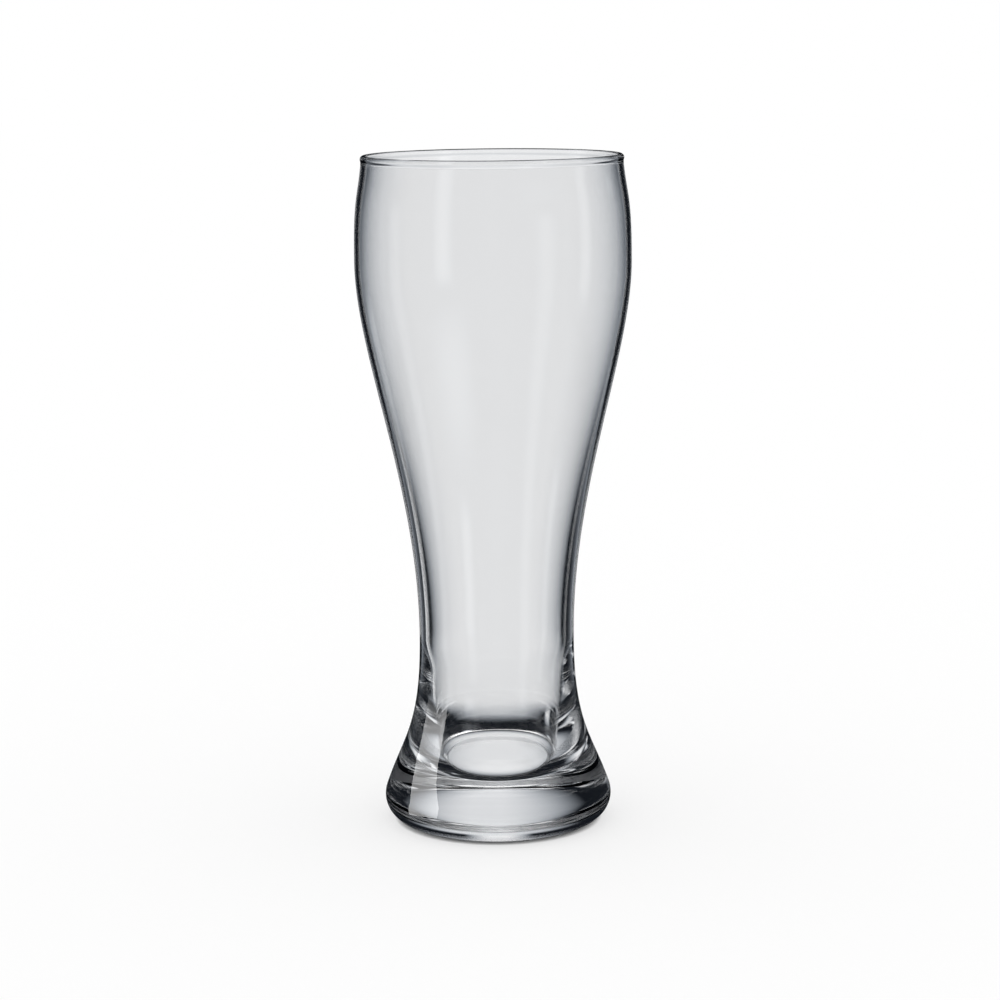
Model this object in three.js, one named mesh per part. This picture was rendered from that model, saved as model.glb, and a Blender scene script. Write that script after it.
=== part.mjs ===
// Footed pilsner glass: a blown bowl with a tapering wall, welded hot into the dish of a heavy pressed foot.
// Millimetres, +Z up. The glass stands on z = 0 and its axis is the Z axis.
import * as THREE from "three";

// Heights, stacked from the table up
const FLOOR_HEIGHT = 14.6;
const SEAM_RISE = 16.4;
const WAIST_RISE = 25.7;
const BULGE_RISE = 112.5;
const RIM_RISE = 30.8;

// Outside radii
const FOOT_RADIUS = 34.2;
const WAIST_RADIUS = 23.2;
const BULGE_RADIUS = 40.8;
const RIM_RADIUS = 38.3;

// Wall of the bowl, measured square to the outside
const RIM_WALL = 1.3;
const BULGE_WALL = 1.1;
const WAIST_WALL = 2.2;
const BASE_WALL = 7;
const CORNER_WALL = 5;

// Well below the waist: how much it narrows, and its corner at the floor, a quarter of an ellipse
const WELL_TAPER = 1.5;
const CORNER_WIDTH = 2.8;
const CORNER_RISE = 7.8;

// Foot
const HEEL_RADIUS = 7.5;
const RING_WIDTH = 3.5;
const PUSH_UP_DEPTH = 0.2;

// Leans from the vertical, in degrees
const RIM_LEAN = 4.6;
const FLARE_LEAN = 18.8;

// How long each end of a curve keeps its own direction, as a share of the rise that the curve covers
const FLARE_FOOT_HOLD = 0.34;
const FLARE_WAIST_HOLD = 0.61;
const BODY_WAIST_HOLD = 0.405;
const BODY_BULGE_HOLD = 0.25;
const SHOULDER_BULGE_HOLD = 0.67;
const SHOULDER_RIM_HOLD = 0.38;
const WELL_FLOOR_HOLD = 0.75;
const WELL_WAIST_HOLD = 0.25;

// Look of the clear glass
const BOWL_COLOUR = 0xe3e6e8;
const FOOT_COLOUR = 0xd2d6da;
const BOWL_OPACITY = 0.35;
const FOOT_OPACITY = 0.5;
const GLASS_ROUGHNESS = 0.02;

// Facets: steps around the axis and along each stretch of the outline
const AROUND = 48;
const BODY_STEPS = 13;
const SHOULDER_STEPS = 6;
const FLARE_STEPS = 5;
const WELL_STEPS = 4;
const ROUND_STEPS = 6;
const LIP_STEPS = 3;
const DISH_STEPS = 6;

// Levels and places that follow from the sizes above
const seamHeight = FLOOR_HEIGHT + SEAM_RISE;
const waistHeight = seamHeight + WAIST_RISE;
const bulgeHeight = waistHeight + BULGE_RISE;
const glassHeight = bulgeHeight + RIM_RISE;
const waistInside = WAIST_RADIUS - WAIST_WALL;
const wellRadius = waistInside - WELL_TAPER;
const lipRadius = RIM_WALL / 2;
const rimLean = THREE.MathUtils.degToRad(RIM_LEAN);
const flareLean = THREE.MathUtils.degToRad(FLARE_LEAN);
const quarterTurn = Math.PI / 2;
const halfTurn = Math.PI;

// A point of the half section: distance from the axis, then height.
const at = (radius, height) => new THREE.Vector2(radius, height);

// The direction of a wall going up that leans in towards the axis by an angle.
const leaning = (angle) => new THREE.Vector2(-Math.sin(angle), Math.cos(angle));
const upright = leaning(0);

// A point moved from its place along a direction.
const moved = (point, direction, distance) => point.clone().addScaledVector(direction, distance);

// An arc of a circle or of an upright ellipse, between two angles from the outward direction.
function arc(centre, width, from, to, rise = width) {
  return new THREE.EllipseCurve(centre.x, centre.y, width, rise, from, to, to < from);
}

// A curve going up between two points, holding its direction at each end for a share of the rise.
function rising(low, lowDirection, lowHold, high, highDirection, highHold) {
  const rise = high.y - low.y;
  const lowHandle = moved(low, lowDirection, rise * lowHold);
  const highHandle = moved(high, highDirection, -rise * highHold);
  return new THREE.CubicBezierCurve(low, lowHandle, highHandle, high);
}

// The share of a rising curve at which it reaches a height, found by halving as far as numbers go.
function shareAtHeight(curve, height) {
  let low = 0;
  let high = 1;
  while (high - low > Number.EPSILON) {
    const middle = (low + high) / 2;
    if (curve.getPoint(middle).y < height) low = middle;
    else high = middle;
  }
  return high;
}

// Even steps from one share of a curve to another, each shifted inward, square to the curve, by a wall.
function stretch(curve, steps, from = 0, to = 1, wallAt = () => 0) {
  const points = [];
  for (let i = 0; i <= steps; i += 1) {
    const share = THREE.MathUtils.lerp(from, to, i / steps);
    const tangent = curve.getTangent(share);
    const inward = new THREE.Vector2(-tangent.y, tangent.x);
    points.push(moved(curve.getPoint(share), inward, wallAt(share)));
  }
  return points;
}

// A wall that changes smoothly from one thickness to another along a curve.
const eased = (share) => THREE.MathUtils.smoothstep(share, 0, 1);
const easedWall = (low, high) => (share) => THREE.MathUtils.lerp(low, high, eased(share));

// One solid of revolution about Z from runs of its outline, each starting where the last one ended.
function turned(first, ...runs) {
  const outline = [...first];
  for (const run of runs) outline.push(...run.slice(1));
  return new THREE.LatheGeometry(outline, AROUND).rotateX(quarterTurn);
}

// The outside of the whole glass, from the bearing ring up to the lip
const heelCentre = at(FOOT_RADIUS - HEEL_RADIUS, HEEL_RADIUS);
const heel = arc(heelCentre, HEEL_RADIUS, -quarterTurn, flareLean);
const waist = at(WAIST_RADIUS, waistHeight);
const bulge = at(BULGE_RADIUS, bulgeHeight);
const lipCentre = at(RIM_RADIUS - lipRadius, glassHeight - lipRadius);
const lipOutside = arc(lipCentre, lipRadius, rimLean, quarterTurn);
const lipInside = arc(lipCentre, lipRadius, quarterTurn, rimLean + halfTurn);
const heelTop = heel.getPoint(1);
const flare = rising(heelTop, leaning(flareLean), FLARE_FOOT_HOLD, waist, upright, FLARE_WAIST_HOLD);
const body = rising(waist, upright, BODY_WAIST_HOLD, bulge, upright, BODY_BULGE_HOLD);
const lipEdge = lipOutside.getPoint(0);
const shoulder = rising(bulge, upright, SHOULDER_BULGE_HOLD, lipEdge, leaning(rimLean), SHOULDER_RIM_HOLD);

// The weld: a shallow dish from the axis out to the seam on the flare, the same surface for both pieces
const seamShare = shareAtHeight(flare, seamHeight);
const seam = flare.getPoint(seamShare);
const dishBottom = at(0, FLOOR_HEIGHT - BASE_WALL);
const dish = new THREE.QuadraticBezierCurve(dishBottom, at(wellRadius + CORNER_WALL, dishBottom.y), seam);
const dishPoints = stretch(dish, DISH_STEPS);

// The inside of the bowl: the outside shifted by the tapering wall, then a narrowing well, corner and floor
const shoulderInside = stretch(shoulder, SHOULDER_STEPS, 0, 1, easedWall(BULGE_WALL, RIM_WALL));
const bodyInside = stretch(body, BODY_STEPS, 0, 1, easedWall(WAIST_WALL, BULGE_WALL));
const cornerCentre = at(wellRadius - CORNER_WIDTH, FLOOR_HEIGHT + CORNER_RISE);
const corner = arc(cornerCentre, CORNER_WIDTH, 0, -quarterTurn, CORNER_RISE);
const cornerTop = corner.getPoint(0);
const wellTop = at(waistInside, waistHeight);
const well = rising(cornerTop, upright, WELL_FLOOR_HOLD, wellTop, upright, WELL_WAIST_HOLD);
const floor = [corner.getPoint(1), at(0, FLOOR_HEIGHT)];

const bowlGeometry = turned(
  dishPoints,
  stretch(flare, FLARE_STEPS, seamShare, 1),
  stretch(body, BODY_STEPS),
  stretch(shoulder, SHOULDER_STEPS),
  stretch(lipOutside, LIP_STEPS),
  stretch(lipInside, LIP_STEPS),
  shoulderInside.toReversed(),
  bodyInside.toReversed(),
  stretch(well, WELL_STEPS).toReversed(),
  stretch(corner, ROUND_STEPS),
  floor,
);

// The foot: shallow push-up, flat bearing ring, round heel, flare up to the seam, dish back to the axis
const ringInside = at(heelCentre.x - RING_WIDTH, 0);
const ring = [ringInside, heel.getPoint(0)];
const pushUpTop = at(0, PUSH_UP_DEPTH);
const pushUpReach = ringInside.x / 2;
const pushUp = new THREE.CubicBezierCurve(
  pushUpTop,
  at(pushUpReach, PUSH_UP_DEPTH),
  at(pushUpReach, 0),
  ringInside,
);

const footGeometry = turned(
  stretch(pushUp, DISH_STEPS),
  ring,
  stretch(heel, ROUND_STEPS),
  stretch(flare, FLARE_STEPS, 0, seamShare),
  dishPoints.toReversed(),
);

// Clear colourless glass, one material for each piece
function clearGlass(color, opacity) {
  const look = { color, roughness: GLASS_ROUGHNESS, metalness: 0, transparent: true, opacity };
  return new THREE.MeshStandardMaterial(look);
}

function piece(name, geometry, material) {
  const mesh = new THREE.Mesh(geometry, material);
  mesh.name = name;
  return mesh;
}

const glass = new THREE.Group();
glass.name = "pilsner_glass";
glass.add(piece("bowl", bowlGeometry, clearGlass(BOWL_COLOUR, BOWL_OPACITY)));
glass.add(piece("foot", footGeometry, clearGlass(FOOT_COLOUR, FOOT_OPACITY)));

export default glass;
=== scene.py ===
"""Footed pilsner glass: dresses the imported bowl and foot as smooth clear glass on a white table.

Every size is in metres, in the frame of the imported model: +Z is up, the glass stands on z = 0 and
its axis is Z.
"""
from math import cos, pi, radians, sin
from typing import NamedTuple

import bpy
import numpy as np
from bpy.props import FloatProperty, FloatVectorProperty, IntProperty, PointerProperty
from bpy.types import Operator, Panel, PropertyGroup
from mathutils import Matrix, Vector


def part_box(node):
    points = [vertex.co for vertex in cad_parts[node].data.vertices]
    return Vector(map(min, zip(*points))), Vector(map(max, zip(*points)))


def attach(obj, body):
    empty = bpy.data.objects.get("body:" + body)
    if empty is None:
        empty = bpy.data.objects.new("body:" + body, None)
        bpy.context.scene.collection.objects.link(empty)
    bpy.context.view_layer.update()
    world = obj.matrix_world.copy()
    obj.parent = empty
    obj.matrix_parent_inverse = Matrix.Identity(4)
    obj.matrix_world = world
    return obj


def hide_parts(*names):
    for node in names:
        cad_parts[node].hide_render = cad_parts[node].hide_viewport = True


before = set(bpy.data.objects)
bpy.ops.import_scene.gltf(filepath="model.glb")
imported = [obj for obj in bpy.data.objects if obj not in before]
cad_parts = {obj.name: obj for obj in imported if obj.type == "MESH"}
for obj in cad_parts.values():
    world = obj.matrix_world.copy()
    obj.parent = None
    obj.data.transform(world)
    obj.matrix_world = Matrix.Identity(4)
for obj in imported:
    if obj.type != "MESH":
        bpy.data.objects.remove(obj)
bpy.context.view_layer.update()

bl_info = {
    "name": "Pilsner glass",
    "version": (1, 0, 0),
    "blender": (4, 5, 0),
    "location": "View3D > Sidebar > Glass",
    "description": "Builds a footed pilsner glass and a bright-field studio around it",
    "category": "Add Mesh",
}

BOWL_HIGH = Vector(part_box("bowl")[1])
FOOT_HIGH = Vector(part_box("foot")[1])
MM = 0.001


# Colours and nodes


def linear(hex_colour):
    """An sRGB hex colour such as "#e8ecee" as linear red, green and blue.

    A channel c becomes c / 12.92 up to 0.04045, and ((c + 0.055) / 1.055) ^ 2.4 above that.
    """
    channels = np.array([int(hex_colour[i : i + 2], 16) for i in (1, 3, 5)]) / 255.0
    low = channels / 12.92
    high = ((channels + 0.055) / 1.055) ** 2.4
    return tuple(np.where(channels <= 0.04045, low, high).tolist())


def opaque(colour):
    """A linear colour with full alpha, the way a colour socket takes it."""
    return (*colour, 1.0)


def add_node(tree, kind, inputs=None, **settings):
    """Adds a node of a kind to a tree.

    Settings go to the node's properties, and inputs to its sockets, as values or as links.
    """
    node = tree.nodes.new(kind)
    for name, value in settings.items():
        setattr(node, name, value)
    for socket, value in (inputs or {}).items():
        if isinstance(value, bpy.types.NodeSocket):
            tree.links.new(value, node.inputs[socket])
        else:
            node.inputs[socket].default_value = value
    return node


# Sizes and finishes that a user may change


class GlassSizes(PropertyGroup):
    """Sizes of the glass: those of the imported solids, and the bead of the lip."""

    height: FloatProperty(
        name="Height", description="Table to the top of the lip",
        default=BOWL_HIGH.z, unit="LENGTH", precision=4)
    rim_rise: FloatProperty(
        name="Rim rise", description="Widest level to the top of the lip",
        default=30.8 * MM, unit="LENGTH", precision=4)
    bulge_rise: FloatProperty(
        name="Shoulder rise", description="Waist to the widest level",
        default=112.5 * MM, unit="LENGTH", precision=4)
    seam_height: FloatProperty(
        name="Seam height", description="Table to the weld on the outside",
        default=FOOT_HIGH.z, unit="LENGTH", precision=4)
    floor_height: FloatProperty(
        name="Floor height", description="Table to the floor inside",
        default=14.6 * MM, unit="LENGTH", precision=4)
    bulge_radius: FloatProperty(
        name="Shoulder radius", description="Widest outside radius",
        default=BOWL_HIGH.x, unit="LENGTH", precision=4)
    rim_radius: FloatProperty(
        name="Rim radius", description="Outside radius at the lip",
        default=38.3 * MM, unit="LENGTH", precision=4)
    waist_radius: FloatProperty(
        name="Waist radius", description="Narrowest outside radius",
        default=23.2 * MM, unit="LENGTH", precision=4)
    foot_radius: FloatProperty(
        name="Foot radius", description="Outside radius of the heel",
        default=FOOT_HIGH.x, unit="LENGTH", precision=4)
    rim_wall: FloatProperty(
        name="Rim wall", description="Wall at the lip",
        default=1.3 * MM, unit="LENGTH", precision=4)
    bulge_wall: FloatProperty(
        name="Shoulder wall", description="Wall at the widest level",
        default=1.1 * MM, unit="LENGTH", precision=4)
    waist_wall: FloatProperty(
        name="Waist wall", description="Wall at the waist",
        default=2.2 * MM, unit="LENGTH", precision=4)
    well_taper: FloatProperty(
        name="Well taper", description="How much the well narrows from the waist to the floor",
        default=1.5 * MM, unit="LENGTH", precision=4)
    base_wall: FloatProperty(
        name="Base wall", description="Bowl glass under its floor",
        default=7.0 * MM, unit="LENGTH", precision=4)
    corner_wall: FloatProperty(
        name="Corner wall", description="Bowl glass beside the inside corner",
        default=5.0 * MM, unit="LENGTH", precision=4)
    corner_width: FloatProperty(
        name="Corner width", description="Inside corner, level",
        default=2.8 * MM, unit="LENGTH", precision=4)
    corner_rise: FloatProperty(
        name="Corner rise", description="Inside corner, upright",
        default=7.8 * MM, unit="LENGTH", precision=4)
    bead: FloatProperty(
        name="Lip bead", description="Swell of the melted lip on each side",
        default=0.3 * MM, unit="LENGTH", precision=5)
    heel_radius: FloatProperty(
        name="Heel radius", description="Rounding under the foot",
        default=7.5 * MM, unit="LENGTH", precision=4)
    ring_width: FloatProperty(
        name="Bearing ring", description="Width of the flat ring",
        default=3.5 * MM, unit="LENGTH", precision=4)
    push_up: FloatProperty(
        name="Push-up", description="Depth of the hollow underneath",
        default=0.2 * MM, unit="LENGTH", precision=4)
    around: IntProperty(
        name="Facets around", description="Steps around the axis",
        default=256, min=16)


class GlassFinish(PropertyGroup):
    """Look of the glass."""

    tint: FloatVectorProperty(
        name="Tint", description="Colour of the glass",
        default=linear("#fdfdfd"), subtype="COLOR", min=0.0, max=1.0)
    ior: FloatProperty(
        name="Index", description="Refractive index of soda-lime glass",
        default=1.52, min=1.0)
    wear: FloatProperty(
        name="Wear", description="Roughness where the glass is rubbed",
        default=0.32, subtype="FACTOR", min=0.0, max=1.0)
    wear_spread: FloatProperty(
        name="Wear spread", description="How much rougher or smoother single rubbed spots are",
        default=0.08, subtype="FACTOR", min=0.0, max=1.0)
    rub_span: FloatProperty(
        name="Rub marks", description="Size of the rubbed spots",
        default=0.8 * MM, unit="LENGTH", precision=4)
    ripple_span: FloatProperty(
        name="Ripple span", description="Size of the mould's gentle waves",
        default=16.0 * MM, unit="LENGTH", precision=4)
    ripple_height: FloatProperty(
        name="Ripple height", description="Height of those waves",
        default=0.012 * MM, unit="LENGTH", precision=6)


class StudioSettings(PropertyGroup):
    """Table and camera."""

    table: FloatVectorProperty(
        name="Table", description="Colour of the table",
        default=linear("#ffffff"), subtype="COLOR", min=0.0, max=1.0)
    table_radius: FloatProperty(
        name="Table radius", description="Radius of the round table top",
        default=6.0, unit="LENGTH")
    lens: FloatProperty(
        name="Lens", description="Focal length in mm",
        default=97.1, unit="CAMERA")
    distance: FloatProperty(
        name="Camera distance", description="Axis of the glass to the lens, level",
        default=0.7935, unit="LENGTH", precision=4)
    camera_height: FloatProperty(
        name="Camera height", description="Table to the lens",
        default=0.2376, unit="LENGTH", precision=4)
    tilt: FloatProperty(
        name="Tilt", description="How far the camera looks down",
        default=radians(10.02), subtype="ANGLE")
    pan: FloatProperty(
        name="Pan", description="How far the camera looks to the right",
        default=radians(0.1), subtype="ANGLE")
    roll: FloatProperty(
        name="Roll", description="How far the camera leans to the right",
        default=radians(0.55), subtype="ANGLE")


# Outline of the glass: points of the half section (radius, height), each with its outward normal

UPRIGHT = np.array([0.0, 1.0])

# How far the lip and the top of the heel lean in from the vertical.
RIM_LEAN = radians(4.6)
FLARE_LEAN = radians(18.8)

# How long the low and the high end of a curve keep their own direction, as shares of its rise.
FLARE_HOLDS = (0.34, 0.61)
BODY_HOLDS = (0.405, 0.25)
SHOULDER_HOLDS = (0.67, 0.38)
WELL_HOLDS = (0.75, 0.25)

# The rubbed band on the heel, as angles of its arc from the level.
WEAR_START = radians(-62)
WEAR_END = radians(-40)

# The bead of the lip: the share of the shoulder where it starts, how far its fullest level lies
# below the top, and how far it reaches from there.
BEAD_START = 0.85
BEAD_DEPTH = 1.0 * MM
BEAD_REACH = 0.75 * MM

# Steps along each stretch of the outline, fine where light bends most.
DISH_STEPS = 16
BOWL_FLARE_STEPS = 20
BODY_STEPS = 70
SHOULDER_STEPS = 20
NECK_STEPS = 30
LIP_STEPS = 28
WELL_STEPS = 20
CORNER_STEPS = 30
FLOOR_STEPS = 2
HOLLOW_STEPS = 24
RING_STEPS = 4
WEAR_STEPS = 10
HEEL_STEPS = 32
FOOT_FLARE_STEPS = 40

# Steps of the table of a curve in which the seam is looked up.
SEARCH_STEPS = 20000


def facing(angle):
    """Direction away from the axis, at an angle above the level."""
    return np.array([cos(angle), sin(angle)])


def leaning(angle):
    """Direction of a wall going up that leans towards the axis by an angle."""
    return np.array([-sin(angle), cos(angle)])


def run(points, tangents):
    """A stretch of outline: points, and unit normals that point to the right of the way it runs."""
    normals = np.stack([tangents[:, 1], -tangents[:, 0]], axis=1)
    return points, normals / np.linalg.norm(normals, axis=1, keepdims=True)


def backwards(stretch):
    """The same stretch run the other way, so that its normals point to the other side."""
    points, normals = stretch
    return points[::-1], -normals[::-1]


def arc(centre, half_axes, start, end, steps):
    """Elliptic arc: centre + (a cos t, b sin t) for t from start to end.

    Its tangent is (-a sin t, b cos t), turned round where the angle goes down.
    """
    angle = np.linspace(start, end, steps + 1)
    outward = np.stack([np.cos(angle), np.sin(angle)], axis=1)
    along = np.stack([-np.sin(angle), np.cos(angle)], axis=1) * np.sign(end - start)
    return run(np.asarray(centre) + half_axes * outward, half_axes * along)


def line(start, end, steps):
    """Straight stretch: start + s * (end - start) for s from 0 to 1."""
    share = np.linspace(0.0, 1.0, steps + 1)[:, None]
    along = np.subtract(end, start)
    return run(np.asarray(start) + share * along, np.repeat(along[None, :], steps + 1, axis=0))


def rising(low, low_direction, high, high_direction, holds):
    """Control points of a cubic that leaves low and reaches high along given directions.

    Each handle is its hold times the rise from low to high.
    """
    rise = high[1] - low[1]
    low_handle = low + low_direction * rise * holds[0]
    high_handle = high - high_direction * rise * holds[1]
    return np.array([low, low_handle, high_handle, high])


def blended(control, share):
    """Points and tangents of the smooth curve that a row of control points gives.

    Neighbouring points are blended by the share again and again until one point is left, and the
    last two before it give the tangent.
    """
    share = np.asarray(share)[:, None]
    level = np.repeat(np.asarray(control, float)[:, None, :], len(share), axis=1)
    while len(level) > 2:
        level = level[:-1] * (1 - share) + level[1:] * share
    return level[0] * (1 - share) + level[1] * share, level[1] - level[0]


def curve(control, steps, start=0.0, end=1.0):
    """Stretch of a blended curve from one share to another in even steps."""
    return run(*blended(control, np.linspace(start, end, steps + 1)))


def walled(control, steps, start, end, low_wall, high_wall):
    """A stretch of the outside, and the inner face behind it run backwards.

    Every inner point is its outer one moved in by the wall there, square to the outside. Along the
    whole curve the wall goes from low to high as low + (high - low) * (3 s^2 - 2 s^3) at share s.
    """
    points, normals = curve(control, steps, start, end)
    share = np.linspace(start, end, steps + 1)
    wall = low_wall + (high_wall - low_wall) * share * share * (3 - 2 * share)
    return (points, normals), backwards((points - normals * wall[:, None], normals))


def share_at_height(control, height):
    """Share of a rising curve at which it reaches a height, read from a fine table of the curve."""
    share = np.linspace(0.0, 1.0, SEARCH_STEPS + 1)
    return float(np.interp(height, blended(control, share)[0][:, 1], share))


def beaded(stretch, top, swell):
    """The bead that fire polishing leaves at the lip.

    Every point moves sideways by the outward part of its normal, times
    swell * exp(-((top - z - depth) / reach)^2).
    """
    points, normals = stretch
    share = (top - points[:, 1] - BEAD_DEPTH) / BEAD_REACH
    aside = normals[:, 0] * swell * np.exp(-share * share)
    moved = points + np.stack([aside, np.zeros(len(points))], axis=1)
    return run(moved, np.gradient(moved, axis=0))


class Section:
    """The half section of the glass, worked out from its sizes: curves that bowl and foot share."""

    def __init__(self, sizes):
        self.sizes = sizes
        bulge_height = sizes.height - sizes.rim_rise
        waist_height = bulge_height - sizes.bulge_rise
        bulge = np.array([sizes.bulge_radius, bulge_height])
        self.waist = np.array([sizes.waist_radius, waist_height])
        self.heel_centre = np.array([sizes.foot_radius - sizes.heel_radius, sizes.heel_radius])
        heel_top = self.heel_centre + sizes.heel_radius * facing(FLARE_LEAN)
        self.lip_radius = sizes.rim_wall / 2
        self.lip_centre = np.array([sizes.rim_radius, sizes.height]) - self.lip_radius
        lip_edge = self.lip_centre + self.lip_radius * facing(RIM_LEAN)
        self.flare = rising(heel_top, leaning(FLARE_LEAN), self.waist, UPRIGHT, FLARE_HOLDS)
        self.body = rising(self.waist, UPRIGHT, bulge, UPRIGHT, BODY_HOLDS)
        self.shoulder = rising(bulge, UPRIGHT, lip_edge, leaning(RIM_LEAN), SHOULDER_HOLDS)
        self.seam_share = share_at_height(self.flare, sizes.seam_height)
        seam = blended(self.flare, [self.seam_share])[0][0]
        self.well_radius = sizes.waist_radius - sizes.waist_wall - sizes.well_taper
        dish_level = sizes.floor_height - sizes.base_wall
        dish_edge = self.well_radius + sizes.corner_wall
        self.dish = np.array([[0.0, dish_level], [dish_edge, dish_level], seam])

    def bowl(self):
        """Runs of the bowl: weld dish, outside up to the lip, and inner face down to the floor."""
        sizes = self.sizes
        waist_walls = (sizes.waist_wall, sizes.bulge_wall)
        rim_walls = (sizes.bulge_wall, sizes.rim_wall)
        body, body_inside = walled(self.body, BODY_STEPS, 0.0, 1.0, *waist_walls)
        shoulder, shoulder_inside = walled(
            self.shoulder, SHOULDER_STEPS, 0.0, BEAD_START, *rim_walls)
        neck, neck_inside = walled(self.shoulder, NECK_STEPS, BEAD_START, 1.0, *rim_walls)
        lip = arc(self.lip_centre, self.lip_radius, RIM_LEAN, RIM_LEAN + pi, LIP_STEPS)
        corner_axes = np.array([sizes.corner_width, sizes.corner_rise])
        floor_edge = np.array([self.well_radius - sizes.corner_width, sizes.floor_height])
        floor_middle = np.array([0.0, sizes.floor_height])
        corner_centre = floor_edge + np.array([0.0, sizes.corner_rise])
        corner_top = np.array([self.well_radius, corner_centre[1]])
        waist_inside = self.waist - np.array([sizes.waist_wall, 0.0])
        well = rising(corner_top, UPRIGHT, waist_inside, UPRIGHT, WELL_HOLDS)
        return [
            curve(self.dish, DISH_STEPS),
            curve(self.flare, BOWL_FLARE_STEPS, self.seam_share, 1.0),
            body,
            shoulder,
            beaded(neck, sizes.height, sizes.bead),
            beaded(lip, sizes.height, sizes.bead),
            beaded(neck_inside, sizes.height, sizes.bead),
            shoulder_inside,
            body_inside,
            backwards(curve(well, WELL_STEPS)),
            arc(corner_centre, corner_axes, 0.0, -pi / 2, CORNER_STEPS),
            line(floor_edge, floor_middle, FLOOR_STEPS),
        ]

    def foot(self):
        """Runs of the foot: push-up, bearing ring, heel, flare up to the seam, and weld dish."""
        sizes = self.sizes
        heel = (self.heel_centre, sizes.heel_radius)
        ring_outside = (self.heel_centre[0], 0.0)
        ring_inside = (self.heel_centre[0] - sizes.ring_width, 0.0)
        reach = ring_inside[0] / 2
        hollow = [(0.0, sizes.push_up), (reach, sizes.push_up), (reach, 0.0), ring_inside]
        return [
            curve(hollow, HOLLOW_STEPS),
            line(ring_inside, ring_outside, RING_STEPS),
            arc(*heel, -pi / 2, WEAR_START, WEAR_STEPS),
            arc(*heel, WEAR_START, WEAR_END, WEAR_STEPS),
            arc(*heel, WEAR_END, FLARE_LEAN, HEEL_STEPS),
            curve(self.flare, FOOT_FLARE_STEPS, 0.0, self.seam_share),
            backwards(curve(self.dish, DISH_STEPS)),
        ]


# Meshes

# Material slots of a piece, and the slot of each run of its outline.
POLISHED, WELD, WORN = 0, 1, 2
BOWL_SLOTS = [WELD] + [POLISHED] * 11
FOOT_SLOTS = [POLISHED, WORN, POLISHED, WORN, POLISHED, POLISHED, WELD]


def turned(name, runs, slots, around):
    """A closed solid of revolution: outline point (r, z) goes to (r cos a, r sin a, z) at step a.

    The outline starts and ends on the axis, where the ring closes to one pole. Faces of each run
    take that run's material slot, and every vertex keeps the outline's own normal, turned with it.
    """
    first_points, first_normals = runs[0]
    points = np.concatenate([first_points] + [later[1:] for later, _ in runs[1:]])
    normals = np.concatenate([first_normals] + [later[1:] for _, later in runs[1:]])
    # At the edge of the weld the normal of the outside holds, so that no crease shows there.
    if slots[0] == WELD:
        normals[len(first_points) - 1] = runs[1][1][0]
    angle = np.arange(around) * (2 * pi / around)
    turn = np.stack([np.cos(angle), np.sin(angle)], axis=1)

    def spun(pairs):
        """Pairs (outward, up) carried round the axis, one ring of vectors for each pair."""
        flat = pairs[:, None, :1] * turn[None, :, :]
        up = np.repeat(pairs[:, None, 1:], around, axis=1)
        return np.concatenate([flat, up], axis=2).reshape(-1, 3)

    def pole(pair):
        """The vector of an outline end on the axis."""
        return np.array([[0.0, 0.0, pair[1]]])

    vertices = np.concatenate([pole(points[0]), spun(points[1:-1]), pole(points[-1])])
    low, high = np.sign(normals[0]), np.sign(normals[-1])
    directions = np.concatenate([pole(low), spun(normals[1:-1]), pole(high)])
    rings = len(points) - 2
    step = np.arange(around)
    after = (step + 1) % around
    ring = 1 + around * np.arange(rings - 1)[:, None]
    corners = [ring + step, ring + after, ring + around + after, ring + around + step]
    quads = np.stack(corners, axis=2).reshape(-1, 4)
    last = 1 + around * (rings - 1)
    first_cap = np.stack([np.zeros(around, int), 1 + after, 1 + step], axis=1)
    last_cap = np.stack([last + step, last + after, np.full(around, last + around)], axis=1)
    faces_of_run = [around * (len(stretch) - 1) for stretch, _ in runs]
    mesh = bpy.data.meshes.new(name)
    mesh.from_pydata(
        vertices.tolist(), [], first_cap.tolist() + quads.tolist() + last_cap.tolist())
    mesh.polygons.foreach_set("use_smooth", np.ones(len(mesh.polygons), bool))
    mesh.polygons.foreach_set(
        "material_index", np.repeat(np.array(slots, np.int32), faces_of_run))
    mesh.normals_split_custom_set_from_vertices(directions)
    mesh.update()
    return mesh


def place(name, mesh, node, materials):
    """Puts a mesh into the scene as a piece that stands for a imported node."""
    for material in materials:
        mesh.materials.append(material)
    piece = bpy.data.objects.new(name, mesh)
    bpy.context.scene.collection.objects.link(piece)
    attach(piece, "root")
    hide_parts(node)
    return piece


# Materials

# The middle part of a noise's values, which nearly all of its spots lie in.
NOISE_LOW, NOISE_HIGH = 0.3, 0.7


def bare_material(name):
    """A new material whose node tree is empty, and that tree."""
    material = bpy.data.materials.new(name)
    material.use_nodes = True
    material.node_tree.nodes.clear()
    return material, material.node_tree


def soda_lime_glass(finish):
    """Soda-lime glass, fire-polished: clear and colourless, with mirror-smooth faces.

    The mould leaves waves a fingertip wide and about a hundredth of a millimetre high, so straight
    edges that are seen through the wall wander a little. Nothing else marks the surface.
    """
    name = "soda_lime_glass_fire_polished"
    if name in bpy.data.materials:
        return bpy.data.materials[name]
    material, tree = bare_material(name)
    spot = add_node(tree, "ShaderNodeTexCoord").outputs["Object"]
    wave = add_node(tree, "ShaderNodeTexNoise", {
        "Vector": spot, "Scale": 1.0 / finish.ripple_span, "Detail": 1.0, "Roughness": 0.4})
    relief = add_node(tree, "ShaderNodeBump", {
        "Strength": 1.0, "Distance": finish.ripple_height, "Height": wave.outputs["Fac"]})
    glass = add_node(tree, "ShaderNodeBsdfPrincipled", {
        "Base Color": opaque(finish.tint), "Roughness": 0.0, "IOR": finish.ior,
        "Transmission Weight": 1.0, "Normal": relief.outputs["Normal"]})
    add_node(tree, "ShaderNodeOutputMaterial", {"Surface": glass.outputs["BSDF"]})
    return material


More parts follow.
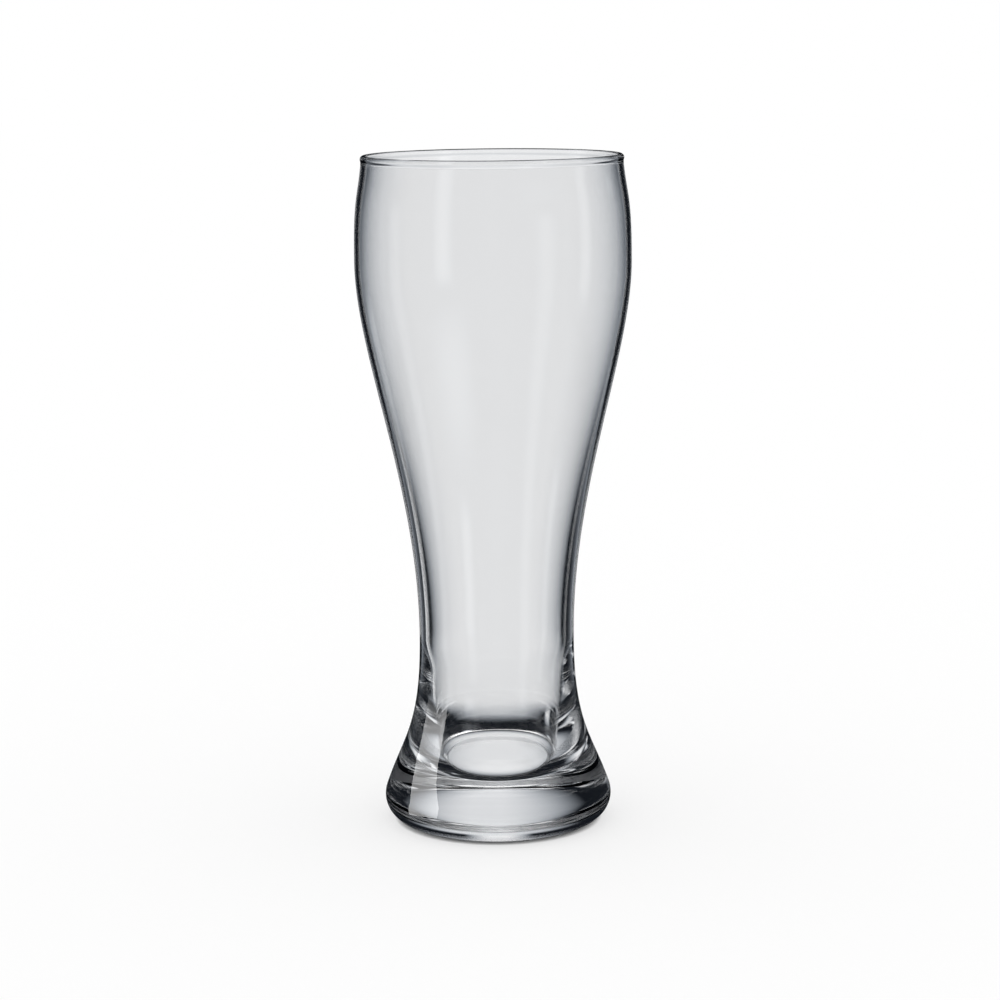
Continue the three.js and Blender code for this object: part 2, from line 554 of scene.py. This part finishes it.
def worn_glass(finish):
    """The same glass where it has been rubbed, on its bearing ring and in a band on the heel.

    Fine scratches make it satin there, in spots of uneven roughness, so it blurs what is seen
    through it and off it. Real scratches are about a tenth of a millimetre wide, too fine to show,
    so the spots are drawn several times coarser.
    """
    material, tree = bare_material("soda_lime_glass_worn_satin")
    spot = add_node(tree, "ShaderNodeTexCoord").outputs["Object"]
    rubbed = add_node(tree, "ShaderNodeTexNoise", {
        "Vector": spot, "Scale": 1.0 / finish.rub_span, "Detail": 2.0})
    satin = add_node(tree, "ShaderNodeMapRange", {
        "Value": rubbed.outputs["Fac"], "From Min": NOISE_LOW, "From Max": NOISE_HIGH,
        "To Min": finish.wear - finish.wear_spread, "To Max": finish.wear + finish.wear_spread})
    glass = add_node(tree, "ShaderNodeBsdfPrincipled", {
        "Base Color": opaque(finish.tint), "Roughness": satin.outputs["Result"],
        "IOR": finish.ior, "Transmission Weight": 1.0})
    add_node(tree, "ShaderNodeOutputMaterial", {"Surface": glass.outputs["BSDF"]})
    return material


def fused_weld():
    """The weld inside the glass: both sides melted into each other.

    Light passes straight on, so nothing of it shows.
    """
    name = "soda_lime_glass_fused_weld"
    if name in bpy.data.materials:
        return bpy.data.materials[name]
    material, tree = bare_material(name)
    clear = add_node(tree, "ShaderNodeBsdfTransparent", {"Color": (1.0, 1.0, 1.0, 1.0)})
    add_node(tree, "ShaderNodeOutputMaterial", {"Surface": clear.outputs["BSDF"]})
    return material


# The table: steps round its edge, how far it lies below the bearing ring, the share of its white
# that is its own light and not lit, and how near the glass has to be for a painted contact shadow.
TABLE_STEPS = 64
TABLE_DROP = 0.05 * MM
TABLE_GLOW = 0.6
PAINTED_SHADOW_REACH = 1.4 * MM


def white_table(studio):
    """Matt white laminate: evenly white to the camera, with the soft shadow of the glass on it.

    Its white is darkened by a painted contact shadow where glass is closer than that reach, a thin
    dark line painted under the heel. Rays that have gone through the glass or off it pass on to the
    studio's cards.
    """
    material, tree = bare_material("white_laminate_matt")
    path = add_node(tree, "ShaderNodeLightPath").outputs
    colour = opaque(studio.table)
    # Painted contact shadow: ambient occlusion darkens the table's own white light where glass is
    # near.
    painted_contact_shadow = add_node(tree, "ShaderNodeAmbientOcclusion", {
        "Color": colour, "Distance": PAINTED_SHADOW_REACH})
    matt = add_node(tree, "ShaderNodeBsdfDiffuse", {"Color": colour})
    white = add_node(tree, "ShaderNodeEmission", {
        "Color": painted_contact_shadow.outputs["Color"], "Strength": 1.0})
    front = add_node(tree, "ShaderNodeMixShader", {
        0: TABLE_GLOW, 1: matt.outputs["BSDF"], 2: white.outputs["Emission"]})
    only_camera = add_node(tree, "ShaderNodeMixShader", {
        0: path["Is Camera Ray"], 1: matt.outputs["BSDF"], 2: front.outputs["Shader"]})
    clear = add_node(tree, "ShaderNodeBsdfTransparent")
    seen_in_glass = add_node(tree, "ShaderNodeMath", {
        0: path["Is Glossy Ray"], 1: path["Is Transmission Ray"]}, operation="MAXIMUM")
    table = add_node(tree, "ShaderNodeMixShader", {
        0: seen_in_glass.outputs[0], 1: only_camera.outputs["Shader"], 2: clear.outputs["BSDF"]})
    add_node(tree, "ShaderNodeOutputMaterial", {"Surface": table.outputs["Shader"]})
    return material


# Stage


class Card(NamedTuple):
    """A bright card that is seen through the glass. Angles are in degrees."""

    # Where its middle lies, as a compass angle from +X.
    compass: float
    # Half its width where it is full, and where it has faded to dark.
    full: float
    dark: float
    # Elevations at which it starts and is full, then at which it is last full and ends.
    rise: tuple
    fall: tuple
    # How bright it is, and the power by which its sides fade.
    light: float
    fade: float


# Cards for the photo's direction, then for three others. Between them the studio is nearly black,
# which draws the dark edges of the glass.
CARDS = (
    Card(90, 3, 12, (-10, -4), (4, 14), 0.92, 1.0),
    Card(90, 3, 15.5, (-32, -16), (-10, -4), 0.92, 1.0),
    Card(90, 5, 44, (-55, -36), (-32, -16), 0.9, 1.5),
    Card(86, 5, 43, (4, 14), (60, 62), 0.8, 1.5),
    Card(135, 4, 7.5, (-40, -34), (-14, -8), 0.88, 1.0),
    Card(180, 2, 8, (-40, -30), (4, 10), 0.88, 1.0),
    Card(180, 4, 16, (10, 20), (50, 55), 0.8, 1.0),
    Card(315, 2, 10, (-40, -32), (4, 10), 0.88, 1.0),
    Card(315, 5, 25, (10, 20), (50, 55), 0.8, 1.0),
)

# A card is white where it is full and a cool grey where it fades. The room is nearly black.
CARD_WHITE = "#ffffff"
CARD_SHADE = "#e2ecf8"
ROOM_DARK = "#15181d"

# Light from above: the elevations at which it starts and is full, and how bright it is. The dome is
# only on the camera's side, and comes in between two compass angles from +Y. The other is all round.
DOME = (30, 40, 1.3)
DOME_SIDE = (120, 150)
ABOVE = (52, 64, 0.4)

# White panels curved round both sides of the bowl, which its outer face mirrors: their distance from
# the axis, their levels, and how bright they are at each level.
PANEL_RADIUS = 0.11
PANEL_LEVELS = (0.020, 0.028, 0.05, 0.127, 0.28, 0.30)
PANEL_LEVEL_GLOW = (0.0, 1.0, 1.0, 1.0, 1.0, 0.0)

# The levels between which the panels' edges turn, and below and above that turn the angles of their
# edges and folds, in degrees from +X, and how bright they are there.
PANEL_TURN = (0.05, 0.127)
PANEL_LOW_ANGLES = (52, 47, 41, 34, 27, 19)
PANEL_LOW_GLOW = (0.0, 0.9, 0.5, 0.2, 0.0, 0.0)
PANEL_HIGH_ANGLES = (36, 32, 25, 11, -2, -20)
PANEL_HIGH_GLOW = (0.0, 0.75, 0.65, 0.6, 0.6, 0.0)
PANEL_COLOUR = "#dfe8f4"
RIGHT_PANEL_LIGHT = 1.0
LEFT_PANEL_LIGHT = 0.9

# Low softbox close to the foot, at its left, which only the outer face mirrors: its place along X,
# then from its top row down the front and the back end of each row, as Y, Z and how bright it is.
SOFTBOX_SIDE = -0.05
SOFTBOX_ROWS = (
    ((-0.0295, 0.0390, 0.0), (0.0025, 0.0366, 0.0)),
    ((-0.0280, 0.0363, 0.9), (0.0005, 0.0318, 0.5)),
    ((-0.0337, 0.0299, 0.9), (-0.0079, 0.0238, 0.6)),
    ((-0.0440, 0.0215, 1.0), (-0.0164, 0.0135, 0.65)),
    ((-0.0453, 0.0120, 0.9), (-0.0163, 0.0040, 0.65)),
    ((-0.0444, -0.0020, 0.8), (-0.0148, -0.0040, 0.6)),
)
SOFTBOX_COLOUR = "#ffffff"
SOFTBOX_LIGHT = 6.3

# Light crosses many faces of the glass and is mirrored inside it, so its paths are long.
GLASS_BOUNCES = 32
MIRROR_BOUNCES = 16

# Width of the camera's sensor, in mm.
SENSOR_WIDTH = 36.0


def elevation_step(tree, height, dark_at, full_at, top=1.0):
    """Smooth step from 0 at one elevation to the top value at another.

    It is read from the height of a direction, which is the sine of its elevation.
    """
    step = add_node(tree, "ShaderNodeMapRange", {
        "Value": height, "From Min": sin(radians(dark_at)), "From Max": sin(radians(full_at)),
        "To Max": top}, interpolation_type="SMOOTHSTEP")
    return step.outputs["Result"]


def card_light(tree, height, level, card):
    """Brightness of one card: its fade to the sides, times a smooth step at each end.

    The fade is a ramp in the cosine of the compass angle from its middle, raised to a power.
    """
    middle = (*facing(radians(card.compass)), 0.0)
    across = add_node(tree, "ShaderNodeVectorMath", {0: level, 1: middle}, operation="DOT_PRODUCT")
    ramp = add_node(tree, "ShaderNodeMapRange", {
        "Value": across.outputs["Value"], "From Min": cos(radians(card.dark)),
        "From Max": cos(radians(card.full))})
    light = add_node(tree, "ShaderNodeMath", {
        0: ramp.outputs["Result"], 1: card.fade}, operation="POWER")
    low_end = elevation_step(tree, height, *card.rise, card.light)
    high_end = elevation_step(tree, height, *reversed(card.fall))
    for end in (low_end, high_end):
        light = add_node(tree, "ShaderNodeMath", {
            0: light.outputs[0], 1: end}, operation="MULTIPLY")
    return light.outputs[0]


def top_light(tree, height, level):
    """Brightness from above: the dome on the camera's side or the light all round, the greater."""
    behind = add_node(tree, "ShaderNodeVectorMath", {
        0: level, 1: (0.0, 1.0, 0.0)}, operation="DOT_PRODUCT")
    side = add_node(tree, "ShaderNodeMapRange", {
        "Value": behind.outputs["Value"], "From Min": cos(radians(DOME_SIDE[0])),
        "From Max": cos(radians(DOME_SIDE[1]))}, interpolation_type="SMOOTHSTEP")
    dome = add_node(tree, "ShaderNodeMath", {
        0: elevation_step(tree, height, *DOME), 1: side.outputs["Result"]}, operation="MULTIPLY")
    greater = add_node(tree, "ShaderNodeMath", {
        0: dome.outputs[0], 1: elevation_step(tree, height, *ABOVE)}, operation="MAXIMUM")
    return greater.outputs[0]


def studio_light():
    """World: white to the camera, even for matt faces, and bright cards on black for the glass."""
    world = bpy.data.worlds.new("bright_field_studio")
    bpy.context.scene.world = world
    world.use_nodes = True
    # The world differs by the kind of ray, and a ray sent out to find light is of no such kind.
    world.cycles.sampling_method = "NONE"
    tree = world.node_tree
    tree.nodes.clear()
    path = add_node(tree, "ShaderNodeLightPath").outputs
    seen = add_node(tree, "ShaderNodeTexCoord").outputs["Generated"]
    height = add_node(tree, "ShaderNodeSeparateXYZ", {0: seen}).outputs["Z"]
    flat = add_node(tree, "ShaderNodeVectorMath", {
        0: seen, 1: (1.0, 1.0, 0.0)}, operation="MULTIPLY")
    level = add_node(tree, "ShaderNodeVectorMath", {
        0: flat.outputs["Vector"]}, operation="NORMALIZE").outputs["Vector"]
    total = top_light(tree, height, level)
    for card in CARDS:
        light = card_light(tree, height, level, card)
        total = add_node(tree, "ShaderNodeMath", {0: total, 1: light}, operation="ADD").outputs[0]
    through = add_node(tree, "ShaderNodeMath", {
        0: total, 1: path["Is Transmission Ray"]}, operation="MULTIPLY").outputs[0]
    # A mix node has sockets for each kind of data: inputs 6 and 7 and output 2 are the colours.
    card_colour = add_node(tree, "ShaderNodeMix", {
        "Factor": through, 6: opaque(linear(CARD_SHADE)), 7: opaque(linear(CARD_WHITE)),
    }, data_type="RGBA").outputs[2]
    cards = add_node(tree, "ShaderNodeEmission", {"Color": card_colour, "Strength": through})
    dark = add_node(tree, "ShaderNodeEmission", {
        "Color": opaque(linear(ROOM_DARK)), "Strength": 1.0})
    bright_field = add_node(tree, "ShaderNodeAddShader", {
        0: cards.outputs["Emission"], 1: dark.outputs["Emission"]})
    even = add_node(tree, "ShaderNodeBackground", {
        "Color": (1.0, 1.0, 1.0, 1.0), "Strength": 1.0})
    plain = add_node(tree, "ShaderNodeMath", {
        0: path["Is Camera Ray"], 1: path["Is Diffuse Ray"]}, operation="MAXIMUM")
    studio = add_node(tree, "ShaderNodeMixShader", {
        0: plain.outputs[0], 1: bright_field.outputs["Shader"], 2: even.outputs["Background"]})
    add_node(tree, "ShaderNodeOutputWorld", {"Surface": studio.outputs["Shader"]})


def lit_cloth(name, colour, strength):
    """Lit diffuser cloth: as bright as its glow attribute says, only for faces that mirror it."""
    material, tree = bare_material(name)
    material.cycles.emission_sampling = "NONE"
    path = add_node(tree, "ShaderNodeLightPath").outputs
    glow = add_node(tree, "ShaderNodeAttribute", attribute_name="glow")
    # A ray off a matt face is a reflection too, but not a glossy one.
    mirrored = add_node(tree, "ShaderNodeMath", {
        0: path["Is Reflection Ray"], 1: path["Is Glossy Ray"]}, operation="MINIMUM")
    light = add_node(tree, "ShaderNodeMath", {
        0: glow.outputs["Fac"], 1: mirrored.outputs[0]}, operation="MULTIPLY")
    lit = add_node(tree, "ShaderNodeEmission", {
        "Color": opaque(linear(colour)), "Strength": strength})
    clear = add_node(tree, "ShaderNodeBsdfTransparent")
    cloth = add_node(tree, "ShaderNodeMixShader", {
        0: light.outputs[0], 1: clear.outputs["BSDF"], 2: lit.outputs["Emission"]})
    add_node(tree, "ShaderNodeOutputMaterial", {"Surface": cloth.outputs["Shader"]})
    return material


def lit_sheet(name, points, glow, colour, strength):
    """A sheet of lit cloth: a grid of points, row by row.

    The brightness of each point is its glow attribute. The sheet casts no shadow, so the table's
    painted contact shadow doesn't darken near it either.
    """
    rows, columns = glow.shape
    first = (np.arange(rows - 1)[:, None] * columns + np.arange(columns - 1)).ravel()
    faces = np.stack([first, first + 1, first + 1 + columns, first + columns], axis=1)
    mesh = bpy.data.meshes.new(name)
    mesh.from_pydata(points.reshape(-1, 3).tolist(), [], faces.tolist())
    mesh.attributes.new("glow", "FLOAT", "POINT").data.foreach_set("value", glow.ravel())
    mesh.materials.append(lit_cloth(name + "_cloth", colour, strength))
    sheet = bpy.data.objects.new(name, mesh)
    bpy.context.scene.collection.objects.link(sheet)
    sheet.visible_shadow = False


def left_softbox():
    """The softbox's lit face: upright along Y, slanting up and back as the foot's flare does."""
    along, up, glow = np.moveaxis(np.array(SOFTBOX_ROWS), 2, 0)
    points = np.stack([np.full(glow.shape, SOFTBOX_SIDE), along, up], axis=2)
    lit_sheet("left_softbox", points, glow, SOFTBOX_COLOUR, SOFTBOX_LIGHT)


def side_panel(name, side, strength):
    """A curved panel at one side: points (R cos a, R sin a, z).

    The angle at level z is low + (high - low) * s, where s goes from 0 to 1 between the two levels
    of the turn. The left panel is the right one mirrored in the plane x = 0.
    """
    levels = np.array(PANEL_LEVELS)
    share = np.clip((levels - PANEL_TURN[0]) / (PANEL_TURN[1] - PANEL_TURN[0]), 0.0, 1.0)[:, None]
    low, high = np.radians(PANEL_LOW_ANGLES), np.radians(PANEL_HIGH_ANGLES)
    angle = low + (high - low) * share
    low_glow, high_glow = np.array(PANEL_LOW_GLOW), np.array(PANEL_HIGH_GLOW)
    glow = (low_glow + (high_glow - low_glow) * share) * np.array(PANEL_LEVEL_GLOW)[:, None]
    x, y = side * PANEL_RADIUS * np.cos(angle), PANEL_RADIUS * np.sin(angle)
    z = np.repeat(levels[:, None], len(low), axis=1)
    lit_sheet(name, np.stack([x, y, z], axis=2), glow, PANEL_COLOUR, strength)


def photo_camera(studio):
    """Camera in front of the glass, on the plane x = 0, looking along +Y and a little down."""
    data = bpy.data.cameras.new("photo_camera")
    data.sensor_width = SENSOR_WIDTH
    data.lens = studio.lens
    camera = bpy.data.objects.new("photo_camera", data)
    stand = Matrix.Translation((0.0, -studio.distance, studio.camera_height))
    aim = Matrix.Rotation(-studio.pan, 4, "Z") @ Matrix.Rotation(pi / 2 - studio.tilt, 4, "X")
    camera.matrix_world = stand @ aim @ Matrix.Rotation(-studio.roll, 4, "Z")
    bpy.context.scene.collection.objects.link(camera)
    bpy.context.scene.camera = camera


def round_table(studio):
    """A flat round table top, a hair below the bearing ring: points (R cos a, R sin a, -drop)."""
    angle = np.linspace(0.0, 2 * pi, TABLE_STEPS, endpoint=False)
    x, y = studio.table_radius * np.cos(angle), studio.table_radius * np.sin(angle)
    edge = np.stack([x, y, np.full(TABLE_STEPS, -TABLE_DROP)], axis=1)
    mesh = bpy.data.meshes.new("table")
    mesh.from_pydata(edge.tolist(), [], [list(range(TABLE_STEPS))])
    mesh.materials.append(white_table(studio))
    table = bpy.data.objects.new("table", mesh)
    bpy.context.scene.collection.objects.link(table)


# Operators


class PILSNER_OT_bowl(Operator):
    """Make the blown bowl: lip, shoulder, waist, well and rounded bottom"""

    bl_idname = "pilsner.bowl"
    bl_label = "Bowl"

    def execute(self, context):
        sizes = context.scene.glass_sizes
        finish = context.scene.glass_finish
        mesh = turned("bowl_glass", Section(sizes).bowl(), BOWL_SLOTS, sizes.around)
        place("bowl_glass", mesh, "bowl", [soda_lime_glass(finish), fused_weld()])
        return {"FINISHED"}


class PILSNER_OT_foot(Operator):
    """Make the pressed foot: push-up, bearing ring, heel, flare and weld dish"""

    bl_idname = "pilsner.foot"
    bl_label = "Foot"

    def execute(self, context):
        sizes = context.scene.glass_sizes
        finish = context.scene.glass_finish
        mesh = turned("foot_glass", Section(sizes).foot(), FOOT_SLOTS, sizes.around)
        materials = [soda_lime_glass(finish), fused_weld(), worn_glass(finish)]
        place("foot_glass", mesh, "foot", materials)
        return {"FINISHED"}


class PILSNER_OT_stage(Operator):
    """Make the table, the studio light and the camera"""

    bl_idname = "pilsner.stage"
    bl_label = "Stage"

    def execute(self, context):
        scene = context.scene
        round_table(scene.glass_studio)
        studio_light()
        left_softbox()
        side_panel("right_panel", 1, RIGHT_PANEL_LIGHT)
        side_panel("left_panel", -1, LEFT_PANEL_LIGHT)
        photo_camera(scene.glass_studio)
        scene.view_settings.view_transform = "Standard"
        scene.cycles.max_bounces = GLASS_BOUNCES
        scene.cycles.transmission_bounces = GLASS_BOUNCES
        scene.cycles.transparent_max_bounces = GLASS_BOUNCES
        scene.cycles.glossy_bounces = MIRROR_BOUNCES
        return {"FINISHED"}


class PILSNER_PT_panel(Panel):
    """Sidebar panel with the sizes and one button for each step"""

    bl_idname = "PILSNER_PT_panel"
    bl_label = "Pilsner glass"
    bl_space_type = "VIEW_3D"
    bl_region_type = "UI"
    bl_category = "Glass"

    def draw(self, context):
        for group_name in GROUPS:
            group = getattr(context.scene, group_name)
            column = self.layout.column(align=True)
            for name in group.bl_rna.properties.keys():
                if name not in ("rna_type", "name"):
                    column.prop(group, name)
        for operator in OPERATORS:
            self.layout.operator(operator.bl_idname)


GROUPS = {"glass_sizes": GlassSizes, "glass_finish": GlassFinish, "glass_studio": StudioSettings}
OPERATORS = (PILSNER_OT_bowl, PILSNER_OT_foot, PILSNER_OT_stage)
CLASSES = (*GROUPS.values(), *OPERATORS, PILSNER_PT_panel)


def register():
    """Registers the classes and hangs the property groups on the scene."""
    for cls in CLASSES:
        bpy.utils.register_class(cls)
    for name, group in GROUPS.items():
        setattr(bpy.types.Scene, name, PointerProperty(type=group))


def unregister():
    """Takes the property groups and the classes away again."""
    for name in GROUPS:
        delattr(bpy.types.Scene, name)
    for cls in reversed(CLASSES):
        bpy.utils.unregister_class(cls)


def main():
    """Builds the glass and its stage."""
    register()
    bpy.ops.pilsner.bowl()
    bpy.ops.pilsner.foot()
    bpy.ops.pilsner.stage()


if __name__ == "__main__":
    main()
